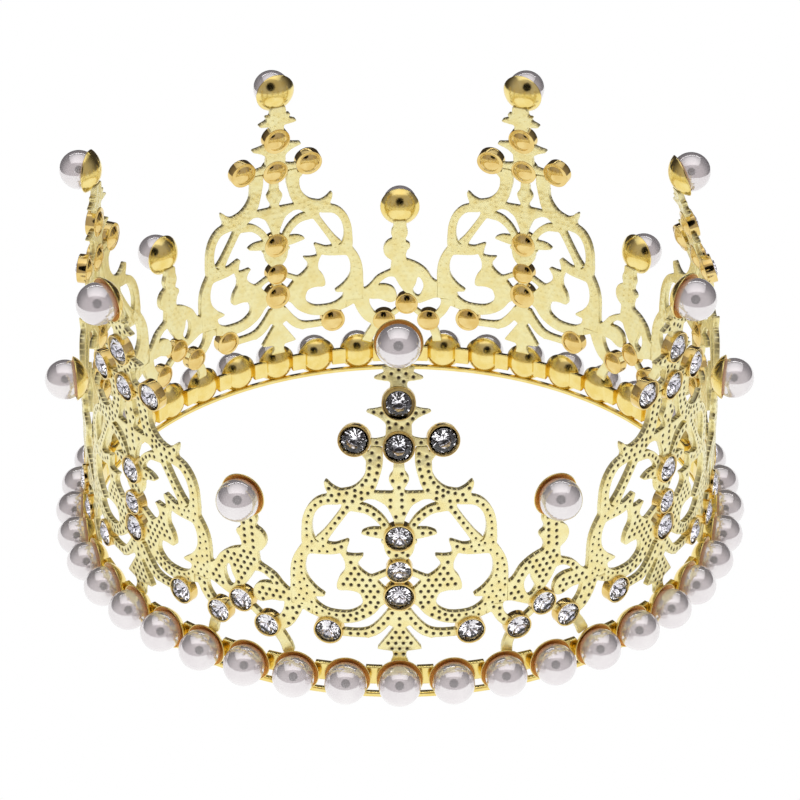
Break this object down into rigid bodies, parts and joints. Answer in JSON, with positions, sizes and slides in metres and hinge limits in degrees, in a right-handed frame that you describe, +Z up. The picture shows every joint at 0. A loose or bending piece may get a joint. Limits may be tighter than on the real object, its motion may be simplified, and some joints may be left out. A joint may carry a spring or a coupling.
{
  "type": "crown",
  "caption": "Round pageant crown: openwork gold crests and shorter spires with clear stones, standing on a band of pearl cups with a flat hoop base.",
  "frame": {"origin": "centre of the crown, on the plane that the bottom hoop rests on", "axes": "+Z up along the crown's axis; -Y is the front, through the middle of crest 1; +X is the crown's right seen from the front"},
  "size_m": [0.1436, 0.144, 0.0773],
  "materials": {
    "gold": "pale gold plating, polished casting",
    "cup_gold": "deeper gold plating, mirror polished cups",
    "pearl": "pearlescent coating, high gloss",
    "rhinestone": "faceted, foil backed"
  },
  "bodies": {
    "root": {"band_segment_1": "cup_gold", "band_segment_2": "cup_gold", "band_segment_3": "cup_gold", "band_segment_4": "cup_gold", "band_segment_5": "cup_gold", "band_segment_6": "cup_gold", "band_segment_7": "cup_gold", "crest_1": "gold", "crest_2": "gold", "crest_3": "gold", "crest_4": "gold", "crest_5": "gold", "crest_6": "gold", "crest_7": "gold", "spire_1": "gold", "spire_2": "gold", "spire_3": "gold", "spire_4": "gold", "spire_5": "gold", "spire_6": "gold", "spire_7": "gold", "crest_pearl_1": "pearl", "crest_pearl_2": "pearl", "crest_pearl_3": "pearl", "crest_pearl_4": "pearl", "crest_pearl_5": "pearl", "crest_pearl_6": "pearl", "crest_pearl_7": "pearl", "spire_pearl_1": "pearl", "spire_pearl_2": "pearl", "spire_pearl_3": "pearl", "spire_pearl_4": "pearl", "spire_pearl_5": "pearl", "spire_pearl_6": "pearl", "spire_pearl_7": "pearl", "band_pearls_1": "pearl", "band_pearls_2": "pearl", "band_pearls_3": "pearl", "band_pearls_4": "pearl", "band_pearls_5": "pearl", "band_pearls_6": "pearl", "band_pearls_7": "pearl", "crest_stones_1": "rhinestone", "crest_stones_2": "rhinestone", "crest_stones_3": "rhinestone", "crest_stones_4": "rhinestone", "crest_stones_5": "rhinestone", "crest_stones_6": "rhinestone", "crest_stones_7": "rhinestone", "spire_stones_1": "rhinestone", "spire_stones_2": "rhinestone", "spire_stones_3": "rhinestone", "spire_stones_4": "rhinestone", "spire_stones_5": "rhinestone", "spire_stones_6": "rhinestone", "spire_stones_7": "rhinestone", "base_hoop": "gold"}
  },
  "joints": []
}
